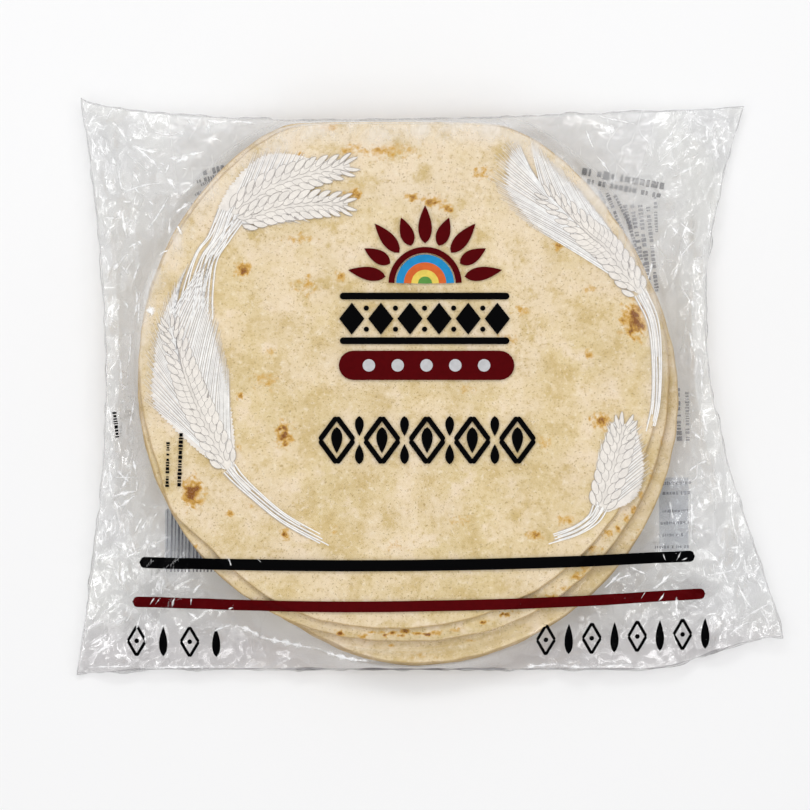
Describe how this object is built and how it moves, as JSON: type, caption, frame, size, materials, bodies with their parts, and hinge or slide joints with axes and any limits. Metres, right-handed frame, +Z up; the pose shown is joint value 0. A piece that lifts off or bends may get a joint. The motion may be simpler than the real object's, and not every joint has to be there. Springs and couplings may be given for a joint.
{
  "type": "bag of flatbread wraps",
  "caption": "Sealed clear film bag holding a stack of thin round flatbread wraps, lying flat with its plain printed side up.",
  "frame": {"origin": "bottom centre of the bounding box, on the surface that the bag lies on", "axes": "+X along the bag to its right end seal, +Y across it to its upper fold, +Z up through the printed side"},
  "size_m": [0.405, 0.3296, 0.0371],
  "materials": {
    "clear_film": "clear crinkled film, glossy, seen over pale flatbread",
    "flatbread": "soft matt baked dough with toasted spots",
    "print_black": "printed ink on film",
    "print_maroon": "printed ink on film",
    "print_pale": "printed ink on film"
  },
  "bodies": {
    "root": {"wrap_bag": "clear_film"}
  },
  "joints": []
}
